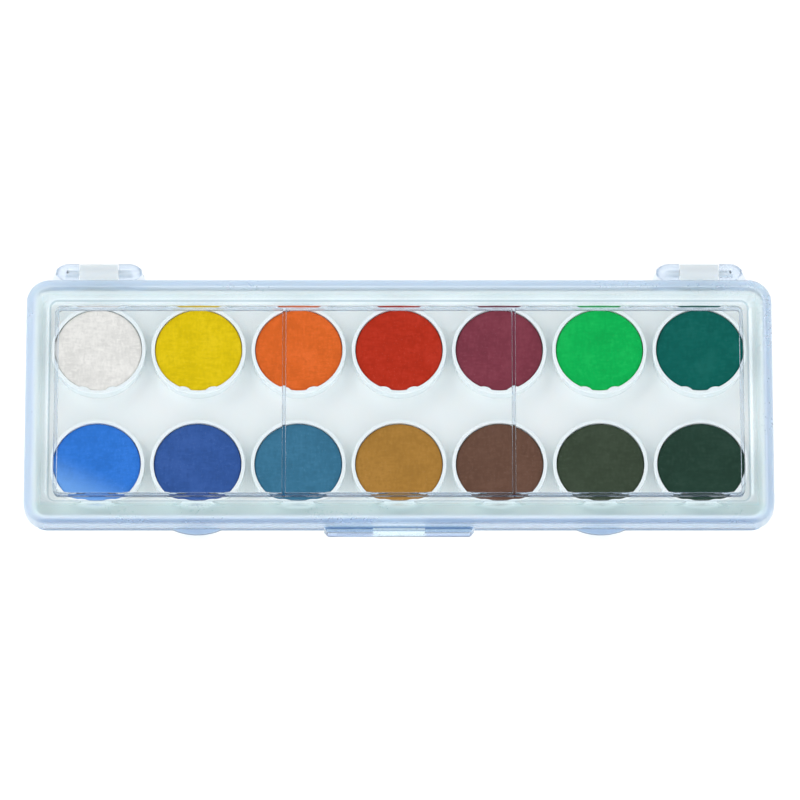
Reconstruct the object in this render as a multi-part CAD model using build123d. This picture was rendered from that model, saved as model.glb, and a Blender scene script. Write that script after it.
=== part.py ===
from build123d import *
import math
import os

# Slim hinged paint box: a shallow milky tray with fourteen round pans in two
# rows of seven, each pan holding one pressed paint tablet, under a clear lid
# whose ribs make three mixing wells.
# Millimetres. +X to the right, +Y to the hinge side, +Z up.
# Origin: centre of the body's outline, on the tray's flat underside.
# The box is closed. The lid turns about HINGE_Y, HINGE_Z, parallel to X.

# ---- body outline -----------------------------------------------------------
BODY_W = 255.0          # outline along X
BODY_D = 88.8           # outline along Y
BODY_R = 8.0            # outline corner radius
BODY_T = 13.0           # closed thickness

# ---- tray -------------------------------------------------------------------
FLOOR_T = 1.2           # floor, from z = 0
FLANGE_Z0 = 3.8         # flange that the lid's skirt stands on
FLANGE_Z1 = 5.0
WALL_IN = 2.6           # flange edge to the wall's outer face
WALL_T = 1.2
WALL_TOP = 7.0          # the wall stands up inside the skirt as a locating lip
WALL_DRAFT = 0.5        # how much the wall draws in from the flange to z = 0
TAB_X = 68.6            # finger tabs at the front, on columns 2 and 6
TAB_OUT = 1.8
TAB_R = 19.6

# ---- pans and tablets -------------------------------------------------------
COLUMNS = 7
PITCH_X = 34.3
PITCH_Y = 41.8
ROWS_Y = -0.45          # the two rows' middle, a little towards the clasp
PAN_RI = 15.0
PAN_RO = 16.2           # at the rim
PAN_RO_FOOT = 15.9
PAN_TOP = 6.3
PAN_FLOOR = 2.9         # top of the pan's floor
BOSS_R = 14.0           # low round boss that centres each pan
BOSS_TOP = 2.0
CORE_R = 12.8           # shallow recess under each boss
CORE_DEEP = 0.6
PAINT_TOP = 5.7
PAINT_R = 14.9
LOBE_R = 3.6            # two scallops on the front of the pan's bore
LOBE_AT = 17.9
LOBE_DEG = 17.5

# ---- lid --------------------------------------------------------------------
SKIRT_Z0 = 5.1
SKIRT_T = 2.2
LID_T = 1.3              # at the panel; the rim is thicker by the panel's sink
EDGE_R = 2.6
PANEL_X = 119.2         # half sizes of the sunk panel, at its lowest
PANEL_Y = 35.8
PANEL_SHIFT = -0.4      # the panel sits a little towards the clasp
PANEL_R = 2.6
PANEL_SINK = 0.9
PANEL_RUN = 1.56        # how far the slope up to the rim runs
PANEL_EASE = 3.0        # radius at the slope's foot and at its top
RIB_X = 117.0           # centrelines of the rib frame
RIB_BACK = 34.3
RIB_FRONT = -33.9
RIB_T = 0.9
RIB_CORNER = 2.2
RIB_ROOT = 0.3          # fillet where the ribs leave the panel
RIB_Z0 = 8.4
DIVIDER_X = 39.2

# ---- hinges -----------------------------------------------------------------
HINGE_X = 103.0
HINGE_Y = 48.7
HINGE_Z = BODY_T / 2.0  # so that the open lid lies on the table
EAR_R = 3.2
EAR_IN = 6.9            # ear's inner face, from the hinge's middle
EAR_STRAIGHT = 10.2     # where the ear starts to taper
EAR_NOSE_R = 5.95
EAR_TIP_R = 1.2
EAR_FOOT = ((16.2, 44.2), (14.9, 48.5), (10.2, 51.4))  # its foot plate's outline
EAR_FOOT_Z1 = 7.2
KNUCKLE_R = 3.0
KNUCKLE_HALF = 6.6
STUB_R = 1.05
STUB_END = 10.9
SOCKET_R = 1.10
SOCKET_END = 11.4

# ---- clasp ------------------------------------------------------------------
CLASP_HALF = 25.7
CLASP_TAPER = 1.5
CLASP_OUT = 1.8
CLASP_Z0 = 2.3
CLASP_Z1 = 7.3
CLASP_CORNER = 1.3
CLASP_EASE = 0.45
CLASP_GAP = 0.3
CLASP_MID = 8.8         # half width of the sloped thumb pad
NIB_HALF = 7.0
NIB_IN = 0.4
NIB_TOP = 3.6

os.makedirs("parts", exist_ok=True)

HALF_D = BODY_D / 2.0
HALF_W = BODY_W / 2.0


def slab(width, depth, radius, z0, z1):
    """A rounded rectangle block between two heights."""
    return Pos(0, 0, z0) * extrude(RectangleRounded(width, depth, radius), z1 - z0)


def block(x0, x1, y0, y1, z0, z1):
    return Pos((x0 + x1) / 2, (y0 + y1) / 2, (z0 + z1) / 2) * Box(
        x1 - x0, y1 - y0, z1 - z0
    )


def rod_x(x0, x1, y, z, r):
    return Pos((x0 + x1) / 2, y, z) * Rot(0, 90, 0) * Cylinder(r, x1 - x0)


def edges_at_z(shape, z, tol=0.01):
    return shape.edges().filter_by_position(Axis.Z, z - tol, z + tol)


def column_x(i):
    return (i - (COLUMNS - 1) / 2.0) * PITCH_X


# ---- tray -------------------------------------------------------------------
def make_tray():
    w_top, d_top = BODY_W - 2 * WALL_IN, BODY_D - 2 * WALL_IN
    r_top = BODY_R - WALL_IN
    # the drafted outside below the flange, then the upright lip
    lower = loft(
        [
            Pos(0, 0, 0)
            * RectangleRounded(
                w_top - 2 * WALL_DRAFT, d_top - 2 * WALL_DRAFT, r_top - WALL_DRAFT
            ),
            Pos(0, 0, FLANGE_Z1) * RectangleRounded(w_top, d_top, r_top),
        ]
    )
    lower = fillet(edges_at_z(lower, 0.0), 0.9)
    lip = slab(w_top, d_top, r_top, FLANGE_Z1, WALL_TOP)
    lip = chamfer(edges_at_z(lip, WALL_TOP), 0.3)
    flange = slab(BODY_W, BODY_D, BODY_R, FLANGE_Z0, FLANGE_Z1)
    for sx in (-1, 1):
        tab = Pos(sx * TAB_X, -HALF_D - TAB_OUT + TAB_R, FLANGE_Z0) * Cylinder(
            TAB_R, FLANGE_Z1 - FLANGE_Z0, align=(Align.CENTER, Align.CENTER, Align.MIN)
        )
        flange += tab & block(
            sx * TAB_X - 12, sx * TAB_X + 12, -HALF_D - 3, -HALF_D + 1.0, 3.0, 6.0
        )
    body = lower + lip + flange
    hollow = slab(
        w_top - 2 * WALL_T, d_top - 2 * WALL_T, r_top - WALL_T, FLOOR_T, WALL_TOP + 1
    )
    hollow = fillet(edges_at_z(hollow, FLOOR_T), 0.8)
    body -= hollow
    # centring bosses, one under each pan, cored out from below
    for iy in (-1, 1):
        for ix in range(COLUMNS):
            boss = Pos(column_x(ix), ROWS_Y + iy * PITCH_Y / 2, FLOOR_T - 0.2) * Cylinder(
                BOSS_R, BOSS_TOP - FLOOR_T + 0.2, align=(Align.CENTER, Align.CENTER, Align.MIN)
            )
            body += chamfer(edges_at_z(boss, BOSS_TOP), 0.2)
            core = Pos(column_x(ix), ROWS_Y + iy * PITCH_Y / 2, 0) * Cone(
                CORE_R, CORE_R - 0.25, CORE_DEEP, align=(Align.CENTER, Align.CENTER, Align.MIN)
            )
            body -= core
    # hinge knuckles with their two stub pins
    for sx in (-1, 1):
        hx = sx * HINGE_X
        knuckle = rod_x(hx - KNUCKLE_HALF, hx + KNUCKLE_HALF, HINGE_Y, HINGE_Z, KNUCKLE_R)
        knuckle += block(
            hx - KNUCKLE_HALF, hx + KNUCKLE_HALF, HALF_D - 1.0, HINGE_Y, FLANGE_Z0, FLANGE_Z1
        )
        knuckle += rod_x(hx - STUB_END, hx + STUB_END, HINGE_Y, HINGE_Z, STUB_R)
        ends = knuckle.edges().filter_by(GeomType.CIRCLE).filter_by(
            lambda e: abs(abs(e.center().X - hx) - STUB_END) < 0.01
        )
        knuckle = chamfer(ends, 0.35)
        body += knuckle
    return body


# ---- pan --------------------------------------------------------------------
def lobes(radius, limit, z0, z1):
    """The two scallops that stand in from the front of a pan's bore."""
    both = None
    for s in (-1, 1):
        a = math.radians(LOBE_DEG) * s
        one = Pos(LOBE_AT * math.sin(a), -LOBE_AT * math.cos(a), z0) * Cylinder(
            radius, z1 - z0, align=(Align.CENTER, Align.CENTER, Align.MIN)
        )
        both = one if both is None else both + one
    keep = Pos(0, 0, z0) * Cylinder(limit, z1 - z0, align=(Align.CENTER, Align.CENTER, Align.MIN))
    return both & keep


def make_pan():
    up = (Align.CENTER, Align.CENTER, Align.MIN)
    body = Pos(0, 0, FLOOR_T) * Cone(
        PAN_RO_FOOT, PAN_RO, PAN_TOP - FLOOR_T, align=up
    )
    body = fillet(edges_at_z(body, PAN_TOP), 0.35)
    bore = Pos(0, 0, PAN_FLOOR) * Cylinder(PAN_RI, PAN_TOP - PAN_FLOOR + 1, align=up)
    bore -= lobes(LOBE_R, PAN_RI + 0.6, PAN_FLOOR - 1, PAN_TOP + 2)
    body -= bore
    body -= Pos(0, 0, FLOOR_T) * Cylinder(BOSS_R + 0.2, BOSS_TOP - FLOOR_T, align=up)
    inner = edges_at_z(body, PAN_TOP).filter_by(
        lambda e: math.hypot(e.center().X, e.center().Y) < PAN_RI + 0.3
        and e.length > 0.5
    )
    try:
        body = fillet(inner, 0.2)
    except Exception:
        pass
    return body


def make_tablet():
    up = (Align.CENTER, Align.CENTER, Align.MIN)
    body = Pos(0, 0, PAN_FLOOR) * Cylinder(PAINT_R, PAINT_TOP - PAN_FLOOR, align=up)
    body -= lobes(LOBE_R + 0.1, PAN_RI + 0.6, PAN_FLOOR - 1, PAINT_TOP + 1)
    return body


# ---- lid --------------------------------------------------------------------
def ear(side):
    """One ear at x = 0 .. : a pointed barrel on a foot plate."""
    reach = math.sqrt(EAR_NOSE_R**2 - (EAR_TIP_R - EAR_R + EAR_NOSE_R) ** 2)
    tip = EAR_STRAIGHT + reach
    half = EAR_STRAIGHT + EAR_NOSE_R * math.sin(math.asin(reach / EAR_NOSE_R) / 2)
    rise = EAR_R - EAR_NOSE_R + EAR_NOSE_R * math.cos(math.asin(reach / EAR_NOSE_R) / 2)
    with BuildPart() as barrel:
        with BuildSketch(Plane.XY):
            with BuildLine():
                Polyline((EAR_IN, 0), (EAR_IN, EAR_R), (EAR_STRAIGHT, EAR_R))
                ThreePointArc((EAR_STRAIGHT, EAR_R), (half, rise), (tip, EAR_TIP_R))
                Polyline((tip, EAR_TIP_R), (tip, 0), (EAR_IN, 0))
            make_face()
        revolve(axis=Axis.X)
    one = Pos(0, HINGE_Y, HINGE_Z) * barrel.part
    root, middle, end = EAR_FOOT
    with BuildPart() as foot:
        with BuildSketch(Plane.XY.offset(SKIRT_Z0)):
            with BuildLine():
                Polyline(end, (EAR_IN, end[1]), (EAR_IN, HALF_D - 0.8), (root[0], HALF_D - 0.8), root)
                ThreePointArc(root, middle, end)
            make_face()
        extrude(amount=EAR_FOOT_Z1 - SKIRT_Z0)
    one += foot.part
    one -= rod_x(EAR_IN - 1, SOCKET_END, HINGE_Y, HINGE_Z, SOCKET_R)
    return one if side > 0 else mirror(one, about=Plane.YZ)


def make_ears():
    ears = None
    for sx in (-1, 1):
        for side in (-1, 1):
            one = Pos(sx * HINGE_X, 0, 0) * ear(side)
            ears = one if ears is None else ears + one
    return ears


def make_clasp():
    y0 = -HALF_D - CLASP_OUT
    outline = Polygon(
        (-CLASP_HALF, -HALF_D),
        (-CLASP_HALF + CLASP_TAPER, y0),
        (CLASP_HALF - CLASP_TAPER, y0),
        (CLASP_HALF, -HALF_D),
        (CLASP_HALF, -HALF_D + 0.8),
        (-CLASP_HALF, -HALF_D + 0.8),
        align=None,
    )
    plate = Pos(0, 0, CLASP_Z0) * extrude(outline, CLASP_Z1 - CLASP_Z0)
    corners = plate.edges().filter_by(Axis.Z).filter_by(
        lambda e: abs(e.center().Y - y0) < 0.01
    )
    plate = fillet(corners, CLASP_CORNER)
    outer = edges_at_z(plate, CLASP_Z1).filter_by(lambda e: e.center().Y < -HALF_D - 0.2)
    plate = fillet(outer, CLASP_EASE)
    # clear of the tray's flange below the skirt
    plate -= block(-40, 40, -HALF_D - CLASP_GAP, -HALF_D + 2, 0, SKIRT_Z0)
    # sloped thumb pad in the middle
    wedge = Pos(-CLASP_MID, 0, 0) * (
        Plane.YZ
        * extrude(
            Polygon(
                (-HALF_D - 0.35, CLASP_Z1 + 0.01),
                (-HALF_D - 3.0, CLASP_Z1 + 0.01),
                (-HALF_D - 3.0, CLASP_Z0 + 1.4),
                (-HALF_D - CLASP_OUT + 0.25, CLASP_Z0 + 1.4),
                align=None,
            ),
            2 * CLASP_MID,
        )
    )
    plate -= wedge
    nib = Pos(-NIB_HALF, 0, 0) * (
        Plane.YZ
        * extrude(
            Polygon(
                (-HALF_D - CLASP_GAP - 0.2, NIB_TOP),
                (-HALF_D + NIB_IN, NIB_TOP),
                (-HALF_D + NIB_IN, NIB_TOP - 0.2),
                (-HALF_D - CLASP_GAP - 0.2, CLASP_Z0 + 0.1),
                align=None,
            ),
            2 * NIB_HALF,
        )
    )
    return plate + nib


def make_lid():
    shell = slab(BODY_W, BODY_D, BODY_R, SKIRT_Z0, BODY_T)
    shell = fillet(edges_at_z(shell, BODY_T), EDGE_R)
    # the underside is one flat face, level under the panel and the rim
    panel_under = BODY_T - LID_T - PANEL_SINK
    cavity = slab(
        BODY_W - 2 * SKIRT_T, BODY_D - 2 * SKIRT_T, BODY_R - SKIRT_T, SKIRT_Z0 - 1, panel_under
    )
    cavity = fillet(edges_at_z(cavity, panel_under), 1.0)
    shell -= cavity
    sink = loft(
        [
            Pos(0, PANEL_SHIFT, BODY_T - PANEL_SINK)
            * RectangleRounded(2 * PANEL_X, 2 * PANEL_Y, PANEL_R),
            Pos(0, PANEL_SHIFT, BODY_T)
            * RectangleRounded(
                2 * (PANEL_X + PANEL_RUN), 2 * (PANEL_Y + PANEL_RUN), PANEL_R + PANEL_RUN
            ),
        ]
    )
    shell -= sink
    top_loop = [
        e
        for e in edges_at_z(shell, BODY_T)
        if abs(e.center().X) <= PANEL_X + 1.8 and abs(e.center().Y) <= PANEL_Y + 2.4
    ]
    shell = fillet(top_loop, PANEL_EASE)
    foot_loop = edges_at_z(shell, BODY_T - PANEL_SINK).filter_by(
        lambda e: abs(e.center().X) <= PANEL_X + 0.1 and abs(e.center().Y) <= PANEL_Y + 0.6
    )
    shell = fillet(foot_loop, PANEL_EASE)

    deep = RIB_BACK - RIB_FRONT
    middle = (RIB_BACK + RIB_FRONT) / 2
    frame = Pos(0, middle, 0) * (
        slab(2 * RIB_X + RIB_T, deep + RIB_T, RIB_CORNER, RIB_Z0, panel_under + 0.2)
        - slab(
            2 * RIB_X - RIB_T, deep - RIB_T, RIB_CORNER - RIB_T, RIB_Z0 - 1, panel_under + 1
        )
    )
    for s in (-1, 1):
        frame += block(
            s * DIVIDER_X - RIB_T / 2, s * DIVIDER_X + RIB_T / 2,
            RIB_FRONT, RIB_BACK, RIB_Z0, panel_under + 0.2,
        )
    shell += frame
    roots = edges_at_z(shell, panel_under).filter_by(
        lambda e: abs(e.center().X) <= RIB_X + RIB_T and abs(e.center().Y) <= RIB_BACK + RIB_T
    )
    shell = fillet(roots, RIB_ROOT)
    lid = shell + make_ears() + make_clasp()
    return lid


NAMES = [
    ["light_blue", "dark_blue", "turquoise", "ochre", "brown", "umber", "black"],
    ["white", "yellow", "orange", "red", "purple", "light_green", "dark_green"],
]

tray = make_tray()
lid = make_lid()
pan = make_pan()
tablet = make_tablet()

export_step(tray, "parts/tray.step")
export_step(lid, "parts/lid.step")
for row in (0, 1):
    for i in range(COLUMNS):
        place = Pos(column_x(i), ROWS_Y + (row - 0.5) * PITCH_Y, 0)
        name = NAMES[row][i]
        export_step(place * pan, f"parts/pan_{name}.step")
        export_step(place * tablet, f"parts/paint_{name}.step")

for label, s in (("tray", tray), ("lid", lid), ("pan", pan), ("tablet", tablet)):
    print(label, "solids", len(s.solids()), "volume", round(s.volume, 1), "valid", s.is_valid)
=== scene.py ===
import math

import bmesh
import bpy
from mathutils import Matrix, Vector, noise


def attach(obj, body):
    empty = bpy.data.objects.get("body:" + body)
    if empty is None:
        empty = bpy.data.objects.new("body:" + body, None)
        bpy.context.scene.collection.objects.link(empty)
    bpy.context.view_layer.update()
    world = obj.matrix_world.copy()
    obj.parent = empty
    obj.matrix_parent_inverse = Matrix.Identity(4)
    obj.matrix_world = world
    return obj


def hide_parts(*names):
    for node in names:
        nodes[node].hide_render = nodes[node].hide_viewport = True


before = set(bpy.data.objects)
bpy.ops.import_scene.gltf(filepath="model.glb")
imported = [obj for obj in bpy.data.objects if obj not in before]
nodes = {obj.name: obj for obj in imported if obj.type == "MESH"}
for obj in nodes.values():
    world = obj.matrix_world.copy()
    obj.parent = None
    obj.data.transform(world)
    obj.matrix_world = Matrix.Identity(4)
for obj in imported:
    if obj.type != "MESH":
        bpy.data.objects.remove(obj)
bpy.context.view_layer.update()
scene = bpy.context.scene

MM = 0.001
BACK_ROW = ["white", "yellow", "orange", "red", "purple", "light_green", "dark_green"]
FRONT_ROW = ["light_blue", "dark_blue", "turquoise", "ochre", "brown", "umber", "black"]

# sizes the model shares with the frame, in millimetres
PITCH_X, PITCH_Y, ROWS_Y = 34.3, 41.8, -0.45
PAN_FLOOR, PAINT_TOP = 2.9, 5.7
LOBE_R, LOBE_AT, LOBE_DEG = 3.7, 17.9, 17.5


# ---- node helpers -----------------------------------------------------------
class Mat:
    """A material with its node tree, and short calls that add nodes to it."""

    def __init__(self, name):
        self.m = bpy.data.materials.new(name)
        self.m.use_nodes = True
        self.t = self.m.node_tree
        self.t.nodes.clear()
        self.out = self.t.nodes.new("ShaderNodeOutputMaterial")
        self.p = self.t.nodes.new("ShaderNodeBsdfPrincipled")
        self.t.links.new(self.p.outputs[0], self.out.inputs["Surface"])
        self.coord = self.t.nodes.new("ShaderNodeTexCoord").outputs["Object"]

    def set(self, **k):
        for name, value in k.items():
            sock = self.p.inputs[name.replace("_", " ")]
            if isinstance(value, bpy.types.NodeSocket):
                self.t.links.new(value, sock)
            else:
                sock.default_value = value
        return self

    def link(self, a, b):
        self.t.links.new(a, b)

    def shift(self, vector, by, scale=(1, 1, 1)):
        n = self.t.nodes.new("ShaderNodeMapping")
        n.inputs["Location"].default_value = by
        n.inputs["Scale"].default_value = scale
        self.link(vector, n.inputs["Vector"])
        return n.outputs[0]

    def noise(self, scale, detail=3.0, rough=0.55, vector=None, distortion=0.0):
        n = self.t.nodes.new("ShaderNodeTexNoise")
        n.inputs["Scale"].default_value = scale
        n.inputs["Detail"].default_value = detail
        n.inputs["Roughness"].default_value = rough
        n.inputs["Distortion"].default_value = distortion
        self.link(vector or self.coord, n.inputs["Vector"])
        return n.outputs["Fac"]

    def voronoi(self, scale, vector=None, out="Distance", feature="F1", rand=1.0):
        n = self.t.nodes.new("ShaderNodeTexVoronoi")
        n.feature = feature
        n.inputs["Scale"].default_value = scale
        n.inputs["Randomness"].default_value = rand
        self.link(vector or self.coord, n.inputs["Vector"])
        return n.outputs[out]

    def math(self, op, a, b=None, c=None, clamp=False):
        n = self.t.nodes.new("ShaderNodeMath")
        n.operation = op
        n.use_clamp = clamp
        for i, v in enumerate((a, b, c)):
            if v is None:
                continue
            if isinstance(v, bpy.types.NodeSocket):
                self.link(v, n.inputs[i])
            else:
                n.inputs[i].default_value = v
        return n.outputs[0]

    def range(self, v, a, b, c, d, smooth=False):
        n = self.t.nodes.new("ShaderNodeMapRange")
        n.interpolation_type = "SMOOTHSTEP" if smooth else "LINEAR"
        n.clamp = True
        self.link(v, n.inputs["Value"])
        for i, x in zip((1, 2, 3, 4), (a, b, c, d)):
            n.inputs[i].default_value = x
        return n.outputs[0]

    def ramp(self, v, stops):
        n = self.t.nodes.new("ShaderNodeValToRGB")
        e = n.color_ramp.elements
        while len(e) > 1:
            e.remove(e[-1])
        e[0].position, e[0].color = stops[0][0], (*stops[0][1], 1)
        for pos, col in stops[1:]:
            x = e.new(pos)
            x.color = (*col, 1)
        self.link(v, n.inputs[0])
        return n.outputs[0]

    def mix(self, f, a, b, kind="MIX"):
        n = self.t.nodes.new("ShaderNodeMix")
        n.data_type = "RGBA"
        n.blend_type = kind
        for i, v in ((0, f), (6, a), (7, b)):
            if isinstance(v, bpy.types.NodeSocket):
                self.link(v, n.inputs[i])
            elif i == 0:
                n.inputs[i].default_value = v
            else:
                n.inputs[i].default_value = (*v, 1)
        return n.outputs[2]

    def split(self, vector=None):
        n = self.t.nodes.new("ShaderNodeSeparateXYZ")
        self.link(vector or self.coord, n.inputs[0])
        return n.outputs

    def bump(self, height, strength, distance, under=None):
        n = self.t.nodes.new("ShaderNodeBump")
        n.inputs["Strength"].default_value = strength
        n.inputs["Distance"].default_value = distance
        self.link(height, n.inputs["Height"])
        if under is not None:
            self.link(under, n.inputs["Normal"])
        return n.outputs[0]


def srgb(r, g, b):
    def lin(v):
        v /= 255.0
        return v / 12.92 if v <= 0.04045 else ((v + 0.055) / 1.055) ** 2.4

    return tuple(lin(v) for v in (r, g, b))


def give(obj, mat):
    obj.data.materials.clear()
    obj.data.materials.append(mat)


# ---- materials --------------------------------------------------------------
def clear_plastic():
    """The lid: polished over the sunk panel and on the ears, satin on the rim."""
    m = Mat("clear_plastic")
    x, y, z = m.split()
    ax, ay = m.math("ABSOLUTE", x), m.math("ABSOLUTE", y)
    # 0 over the panel, 1 on the rim
    rim = m.math(
        "MAXIMUM",
        m.range(ax, 0.1202, 0.1222, 0, 1, True),
        m.range(ay, 0.0368, 0.0388, 0, 1, True),
    )
    flat = m.math("SUBTRACT", 1.0, rim)
    behind = m.range(y, 0.0444, 0.0452, 1, 0, True)
    front = m.range(y, -0.0448, -0.0442, 0, 1, True)
    rim = m.math("MULTIPLY", m.math("MULTIPLY", rim, behind), front)
    smudge = m.range(m.noise(38, 4, 0.6, distortion=0.6), 0.35, 0.75, 0.0, 1.0, True)
    fine = m.range(m.noise(900, 2, 0.5), 0.3, 0.7, 0.0, 1.0)
    rough = m.math("MULTIPLY_ADD", smudge, 0.010, 0.012)
    rough = m.math("MULTIPLY_ADD", fine, 0.008, rough)
    rough = m.math("MULTIPLY_ADD", rim, 0.26, rough)
    ears = m.range(y, 0.0446, 0.0456, 0, 1, True)
    rough = m.math("MULTIPLY_ADD", ears, 0.26, rough)
    flow = m.noise(24, 3, 0.5, vector=m.shift(m.coord, (0, 0, 0), (0.5, 1.6, 1)))
    hair = m.range(
        m.noise(260, 2, 0.5, vector=m.shift(m.coord, (0.3, 0.1, 0), (0.06, 1.0, 1.0)), distortion=1.2),
        0.70, 0.78, 0, 1,
    )
    b = m.bump(m.math("MULTIPLY", flow, flat), 0.04, 0.00006)
    # painted light: the outer walls are tinted cool and blue, standing in for the light they carry along
    wall_painted_light = m.math(
        "MAXIMUM",
        m.range(ax, 0.1236, 0.1258, 0, 1, True),
        m.range(ay, 0.0408, 0.0428, 0, 1, True),
    )
    wall_painted_light = m.math("MULTIPLY", wall_painted_light, m.range(y, 0.0446, 0.0454, 1, 0, True))
    inside = m.math(
        "MULTIPLY", m.range(ax, 0.1190, 0.1200, 1, 0), m.range(ay, 0.0360, 0.0370, 1, 0)
    )
    b = m.bump(m.math("MULTIPLY", hair, inside), 0.02, 0.00001, b)
    # the clasp's thick bars either side of its thumb pad; their front faces get painted shade, a dark blue
    # tint
    bar_faces_painted_shade = m.math(
        "MULTIPLY",
        m.range(z, 0.0052, 0.0060, 1, 0, True),
        m.range(ax, 0.0082, 0.0098, 0, 1, True),
    )
    bar_faces_painted_shade = m.math("MULTIPLY", bar_faces_painted_shade, m.range(y, -0.0457, -0.0455, 1, 0, True))
    clasp = m.range(y, -0.0450, -0.0446, 1, 0, True)
    # painted shade: a dark line where the top of the clasp meets the lid's front wall
    clasp_crease_shade = m.math(
        "MULTIPLY",
        m.range(y, -0.0444, -0.0441, 1, 0, True),
        m.math("MULTIPLY", m.range(z, 0.0070, 0.0072, 0, 1), m.range(z, 0.0080, 0.0088, 1, 0)),
    )
    clasp_crease_shade = m.math("MULTIPLY", clasp_crease_shade, m.range(ax, 0.0240, 0.0250, 1, 0))
    # the ribs hang under the panel; they are tinted dark, painted shade standing in for the dark bands seen
    # through them
    rib_painted_shade = m.math(
        "MULTIPLY",
        m.range(z, 0.01060, 0.01070, 1, 0),
        m.math("MULTIPLY", m.range(ax, 0.1178, 0.1182, 1, 0), m.range(ay, 0.0352, 0.0356, 1, 0)),
    )
    tint = m.mix(rim, (0.99, 0.997, 1.0), (0.89, 0.94, 0.935))
    # painted shade on the ribs, deepest on the front rib and lighter towards the back
    rib_shade_strength = m.range(y, -0.0330, -0.0320, 0.90, 0.34)
    tint = m.mix(m.math("MULTIPLY", rib_painted_shade, rib_shade_strength), tint, (0.28, 0.34, 0.44))
    # painted shade: the rim's front strip, between the panel and the front wall, tinted a little darker and
    # cooler
    front_rim_shade = m.math(
        "MULTIPLY", m.range(y, -0.0366, -0.0382, 0, 1, True), m.range(y, -0.0438, -0.0430, 0, 1, True)
    )
    tint = m.mix(front_rim_shade, tint, (0.81, 0.91, 0.90))
    # painted shade: a fine dark line tinted along the step round the panel
    yc = m.math("ABSOLUTE", m.math("ADD", y, 0.0004))
    dx = m.math("MAXIMUM", m.math("SUBTRACT", ax, 0.1166), 0.0)
    dy = m.math("MAXIMUM", m.math("SUBTRACT", yc, 0.0338), 0.0)
    away = m.math("SQRT", m.math("ADD", m.math("MULTIPLY", dx, dx), m.math("MULTIPLY", dy, dy)))
    away = m.math("ABSOLUTE", m.math("SUBTRACT", away, 0.0027))
    step_shade_line = m.math("MULTIPLY", m.range(away, 0.00010, 0.00055, 1, 0, True), m.range(z, 0.0116, 0.0118, 0, 1))
    tint = m.mix(step_shade_line, tint, (0.46, 0.56, 0.62))
    # painted light: the outer walls tinted cool and blue
    tint = m.mix(wall_painted_light, tint, (0.77, 0.82, 0.90))
    # painted shade: the lid's front face tinted darker and bluer than the other walls
    tint = m.mix(m.range(y, -0.0438, -0.0430, 1, 0, True), tint, (0.58, 0.66, 0.79))
    tint = m.mix(ears, tint, (0.93, 0.955, 0.99))
    tint = m.mix(clasp, tint, (0.80, 0.90, 0.91))
    # painted shade on the bars' front faces
    tint = m.mix(bar_faces_painted_shade, tint, (0.34, 0.46, 0.72))
    # painted shade in the clasp's crease
    tint = m.mix(clasp_crease_shade, tint, (0.22, 0.34, 0.50))
    m.set(
        Base_Color=tint,
        Roughness=rough,
        IOR=1.50,
        Transmission_Weight=1.0,
        Normal=b,
    )
    v = m.t.nodes.new("ShaderNodeVolumeAbsorption")
    v.inputs["Color"].default_value = (0.14, 0.48, 0.86, 1)
    v.inputs["Density"].default_value = 40.0
    m.link(v.outputs[0], m.out.inputs["Volume"])
    return m.m


def milky_plastic():
    """The tray: translucent white with a cool tint and a moulded satin surface."""
    m = Mat("milky_plastic")
    cloud = m.range(m.noise(30, 3, 0.5), 0.3, 0.7, 0, 1)
    col = m.mix(cloud, srgb(235, 241, 241), srgb(240, 244, 244))
    x, y, z = m.split()
    # painted shade: the hinge barrel behind the box coloured a darker grey than the rest of the tray
    col = m.mix(m.range(y, 0.0450, 0.0460, 0, 1), col, srgb(205, 212, 216))
    # a small dark spot painted on the outer stub pins' tips
    pin_tip_spot = m.math(
        "MULTIPLY",
        m.range(m.math("ABSOLUTE", x), 0.1133, 0.1135, 0, 1),
        m.math("MULTIPLY", m.range(m.math("ABSOLUTE", m.math("SUBTRACT", y, 0.0488)), 0.0004, 0.0006, 1, 0),
               m.range(z, 0.0068, 0.0070, 0, 1)),
    )
    col = m.mix(pin_tip_spot, col, srgb(40, 46, 54))
    # painted shade: the flange and its finger tabs are thin, and are tinted a darker, cooler blue-grey
    # against the table
    flange_painted_shade = m.math(
        "MULTIPLY", m.range(y, -0.0440, -0.0436, 1, 0, True), m.range(z, 0.0034, 0.0038, 0, 1)
    )
    col = m.mix(flange_painted_shade, col, srgb(160, 182, 208))
    # painted shade: a dark line along the front edge of the flange
    flange_edge_shade = m.math(
        "MULTIPLY", m.range(y, -0.0443, -0.0441, 1, 0, True),
        m.math("MULTIPLY", m.range(z, 0.0034, 0.0038, 0, 1), m.range(z, 0.0046, 0.0049, 1, 0)),
    )
    col = m.mix(flange_edge_shade, col, srgb(92, 108, 132))
    grain = m.noise(2600, 2, 0.6)
    rough = m.range(m.noise(120, 3, 0.6), 0.3, 0.7, 0.34, 0.46)
    b = m.bump(grain, 0.10, 0.00003)
    m.set(
        Base_Color=col,
        Roughness=rough,
        IOR=1.49,
        Subsurface_Weight=0.35,
        Subsurface_Radius=(0.8, 1.0, 1.2),
        Subsurface_Scale=0.0022,
        Normal=b,
    )
    return m.m


def pan_plastic():
    """The pans: glossy white, thin enough to glow a little."""
    m = Mat("pan_plastic")
    cloud = m.range(m.noise(60, 3, 0.5), 0.3, 0.7, 0, 1)
    col = m.mix(cloud, srgb(230, 237, 238), srgb(235, 240, 241))
    rough = m.range(m.noise(200, 3, 0.6), 0.3, 0.7, 0.18, 0.28)
    b = m.bump(m.noise(900, 2, 0.5), 0.06, 0.00004)
    m.set(
        Base_Color=col,
        Roughness=rough,
        IOR=1.49,
        Subsurface_Weight=0.20,
        Subsurface_Radius=(0.8, 0.9, 1.0),
        Subsurface_Scale=0.0012,
        Normal=b,
    )
    return m.m


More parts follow.
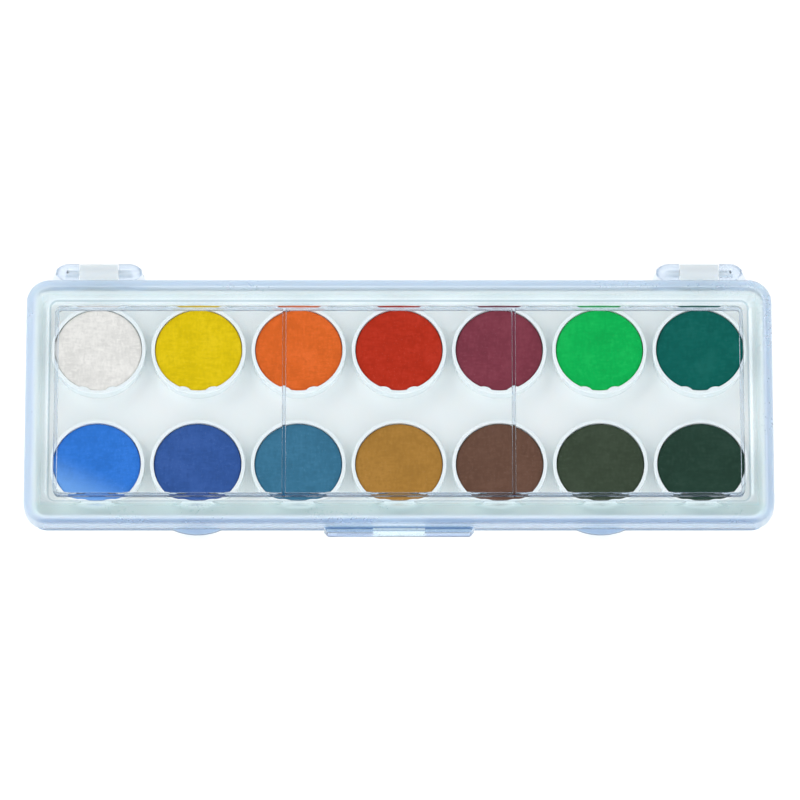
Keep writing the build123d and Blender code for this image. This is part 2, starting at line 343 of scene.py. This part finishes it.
def paint(name, rgb, seed, pale=0.12):
    """Pressed opaque colour: chalky, mottled at two scales, pitted, and a little uneven."""
    m = Mat("paint_" + name)
    base = srgb(*rgb)
    light = tuple(min(1.0, c * 1.13 + 0.006 + 0.02 * pale) for c in base)
    dark = tuple(c * 0.87 for c in base)
    p = m.shift(m.coord, (seed * 0.37, seed * 0.21, seed * 0.11))
    big = m.noise(95, 4, 0.6, vector=p, distortion=0.3)
    col = m.ramp(big, [(0.25, dark), (0.5, base), (0.78, light)])
    # crossed grain left by the pressing cloth
    warp = m.noise(1500, 2, 0.6, vector=m.shift(p, (0, 0, 0), (1.0, 0.30, 1.0)))
    weft = m.noise(1500, 2, 0.6, vector=m.shift(p, (0.5, 0, 0), (0.30, 1.0, 1.0)))
    grit = m.math("MULTIPLY_ADD", weft, 0.5, m.math("MULTIPLY", warp, 0.5))
    col = m.mix(m.range(grit, 0.50, 0.64, 0.0, 0.75), col, light)
    col = m.mix(m.range(grit, 0.50, 0.36, 0.0, 0.75), col, dark)
    pits = m.voronoi(620, vector=p)
    hole = m.range(pits, 0.05, 0.20, 1.0, 0.0, True)
    # painted shade: the pits darkened a little
    col = m.mix(m.math("MULTIPLY", hole, 0.30), col, dark)
    if name == "light_blue":
        # this tablet pales towards its front left
        x, y, z = m.split()
        t = m.math("MULTIPLY_ADD", y, -0.9, m.math("MULTIPLY", x, -0.45))
        col = m.mix(m.range(t, 0.0660, 0.0800, 0.0, 0.62, True), col, srgb(132, 182, 236))
    h = m.math("MULTIPLY_ADD", hole, -0.8, grit)
    b = m.bump(big, 0.30, 0.00025)
    b = m.bump(h, 0.45, 0.00007, b)
    rough = m.range(grit, 0.35, 0.65, 0.78, 0.95)
    m.set(Base_Color=col, Roughness=rough, IOR=1.45, Specular_IOR_Level=0.12, Normal=b)
    return m.m


def floor_material():
    m = Mat("pale_floor")
    n = m.noise(6, 4, 0.5)
    col = m.ramp(n, [(0.3, (0.95, 0.955, 0.96)), (0.7, (0.965, 0.965, 0.965))])
    m.set(Base_Color=col, Roughness=0.7, Specular_IOR_Level=0.2,
          Emission_Color=(1, 1, 1, 1), Emission_Strength=0.10,
          Normal=m.bump(m.noise(400, 3, 0.5), 0.05, 0.0002))
    return m.m


# ---- carried-over pieces ----------------------------------------------------
MILKY, PAN, CLEAR = milky_plastic(), pan_plastic(), clear_plastic()
give(nodes["tray"], MILKY)
give(nodes["lid"], CLEAR)
for name in BACK_ROW + FRONT_ROW:
    give(nodes["pan_" + name], PAN)
# light that falls on the tray passes the clear lid unhindered, so that the box is
# lit alike open and closed; the lid itself is seen, mirrors and bends as glass does
nodes["lid"].visible_shadow = False
nodes["lid"].visible_diffuse = False

# ---- the pressed tablets ----------------------------------------------------
PAINTS = {
    "white": ((225, 221, 215), 0.30),
    "yellow": ((218, 188, 1), 0.15),
    "orange": ((216, 98, 34), 0.15),
    "red": ((179, 43, 20), 0.12),
    "purple": ((124, 53, 67), 0.12),
    "light_green": ((0, 174, 79), 0.10),
    "dark_green": ((0, 93, 84), 0.06),
    "light_blue": ((44, 114, 203), 0.22),
    "dark_blue": ((49, 85, 151), 0.12),
    "turquoise": ((54, 110, 139), 0.12),
    "ochre": ((166, 119, 51), 0.12),
    "brown": ((102, 72, 58), 0.10),
    "umber": ((57, 69, 53), 0.10),
    "black": ((34, 61, 49), 0.08),
}


def tablet_outline(angle, r):
    """Radius of the tablet's edge at an angle, cut back where the pan's scallops stand in."""
    best = r
    for s in (-1, 1):
        a = math.radians(LOBE_DEG) * s
        cx, cy = LOBE_AT * math.sin(a), -LOBE_AT * math.cos(a)
        dx, dy = math.cos(angle), math.sin(angle)
        along = dx * cx + dy * cy
        off2 = cx * cx + cy * cy - along * along
        if along > 0 and off2 < LOBE_R * LOBE_R:
            best = min(best, along - math.sqrt(LOBE_R * LOBE_R - off2))
    return best


def make_tablet(name, cx, cy, seed):
    """A pressed tablet: rounded, slightly uneven edge and a shallow worn dish on top."""
    around = 160
    # (how far in from the edge, height under the top) from the bottom of the side inwards
    side = [(0.0, 2.78), (0.0, 0.55), (0.03, 0.33), (0.10, 0.16), (0.22, 0.055), (0.38, 0.01)]
    rings = [0.96, 0.93, 0.88, 0.82, 0.75, 0.67, 0.58, 0.49, 0.40, 0.31, 0.22, 0.14, 0.07]
    bm = bmesh.new()
    loops = []
    edge = []
    for k in range(around):
        a = 2 * math.pi * k / around
        wob = noise.noise(Vector((math.cos(a) * 2.2 + seed * 3.1, math.sin(a) * 2.2, seed * 1.7)))
        edge.append((a, tablet_outline(a, 14.88) - 0.02 - 0.035 * (wob + 1.0)))
    for inset, drop in side:
        ring = []
        for a, r in edge:
            rr = r - inset
            ring.append(bm.verts.new(((cx + rr * math.cos(a)) * MM, (cy + rr * math.sin(a)) * MM, (PAINT_TOP - drop) * MM)))
        loops.append(ring)
    for f in rings:
        ring = []
        for a, r in edge:
            blend = min(1.0, max(0.0, (f - 0.55) / 0.41))
            rr = (r - 0.38) * f * blend + 14.4 * f * (1 - blend)
            x, y = cx + rr * math.cos(a), cy + rr * math.sin(a)
            p = Vector((x * 0.22 + seed * 5.0, y * 0.22, seed * 2.3))
            z = -0.045 * (1 - f * f) + 0.022 * (noise.noise(p) - 0.4) + 0.010 * noise.noise(p * 4.1)
            ring.append(bm.verts.new((x * MM, y * MM, (PAINT_TOP - 0.012 + z) * MM)))
        loops.append(ring)
    top = bm.verts.new((cx * MM, cy * MM, (PAINT_TOP - 0.06) * MM))
    for a, b in zip(loops, loops[1:]):
        for k in range(around):
            j = (k + 1) % around
            bm.faces.new((a[k], a[j], b[j], b[k]))
    last = loops[-1]
    for k in range(around):
        bm.faces.new((last[k], last[(k + 1) % around], top))
    bm.faces.new(list(reversed(loops[0])))
    for f in bm.faces:
        f.smooth = True
    bm.normal_update()
    me = bpy.data.meshes.new("tablet_" + name)
    bm.to_mesh(me)
    bm.free()
    ob = bpy.data.objects.new("tablet_" + name, me)
    scene.collection.objects.link(ob)
    return ob


for row, names in ((0, FRONT_ROW), (1, BACK_ROW)):
    for i, name in enumerate(names):
        cx, cy = (i - 3) * PITCH_X, ROWS_Y + (row - 0.5) * PITCH_Y
        seed = row * 7 + i + 1
        ob = make_tablet(name, cx, cy, seed)
        rgb, pale = PAINTS[name]
        give(ob, paint(name, rgb, seed, pale))
        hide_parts("paint_" + name)
        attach(ob, "base")

# ---- stage ------------------------------------------------------------------
bpy.ops.mesh.primitive_plane_add(size=6.0, location=(0, 0, -0.00002))
floor = bpy.context.object
floor.name = "floor"
give(floor, floor_material())

world = bpy.data.worlds.new("studio")
scene.world = world
world.use_nodes = True
wt = world.node_tree
wt.nodes.clear()
wout = wt.nodes.new("ShaderNodeOutputWorld")
bg = wt.nodes.new("ShaderNodeBackground")
bg.inputs["Color"].default_value = (0.97, 0.985, 1.0, 1)
wt.links.new(bg.outputs[0], wout.inputs["Surface"])
# a white tent with one dark opening overhead, which the flat lid mirrors
tent = wt.nodes.new("ShaderNodeTexCoord")
facing = wt.nodes.new("ShaderNodeVectorMath")
facing.operation = "DOT_PRODUCT"
facing.inputs[1].default_value = (0.0, 0.358, 0.934)
wt.links.new(tent.outputs["Generated"], facing.inputs[0])
opening = wt.nodes.new("ShaderNodeMapRange")
opening.interpolation_type = "SMOOTHSTEP"
for i, v in zip((1, 2, 3, 4), (0.78, 0.95, 1.42, 0.03)):
    opening.inputs[i].default_value = v
wt.links.new(facing.outputs["Value"], opening.inputs["Value"])
wt.links.new(opening.outputs[0], bg.inputs["Strength"])
world.cycles.sampling_method = "NONE"


def area(name, where, size, power, target=(0, 0, 0), colour=(1, 1, 1)):
    d = bpy.data.lights.new(name, "AREA")
    d.shape = "RECTANGLE"
    d.size, d.size_y = size
    d.energy = power
    d.color = colour
    ob = bpy.data.objects.new(name, d)
    scene.collection.objects.link(ob)
    ob.location = where
    ob.rotation_mode = "QUATERNION"
    ob.rotation_quaternion = (Vector(target) - Vector(where)).to_track_quat("-Z", "Y")
    return ob


area("key", (-0.95, 0.45, 0.85), (0.7, 0.6), 2.6, colour=(1.0, 0.99, 0.97))
area("fill", (1.0, -0.8, 0.9), (1.2, 0.9), 1.3, colour=(0.94, 0.97, 1.0))

# ---- camera -----------------------------------------------------------------
ELEVATION = math.radians(69.0)
cam_data = bpy.data.cameras.new("camera")
cam = bpy.data.objects.new("camera", cam_data)
scene.collection.objects.link(cam)
cam_data.sensor_width = 36.0
cam_data.lens = 400.0
span = 0.2732
target = Vector((0.00034, 0.00208, 0.0065))
back = Vector((0, -math.cos(ELEVATION), math.sin(ELEVATION)))
cam.location = target + back * (span / 2 / (18.0 / cam_data.lens))
cam.rotation_mode = "QUATERNION"
cam.rotation_quaternion = (-back).to_track_quat("-Z", "Y")
cam_data.clip_start, cam_data.clip_end = 0.01, 50.0
scene.camera = cam

# ---- how light is followed --------------------------------------------------
scene.view_settings.view_transform = "Standard"
scene.view_settings.look = "None"
scene.cycles.max_bounces = 24
scene.cycles.diffuse_bounces = 6
scene.cycles.glossy_bounces = 8
scene.cycles.transmission_bounces = 24
scene.cycles.transparent_max_bounces = 16
scene.cycles.caustics_reflective = False
scene.cycles.caustics_refractive = True
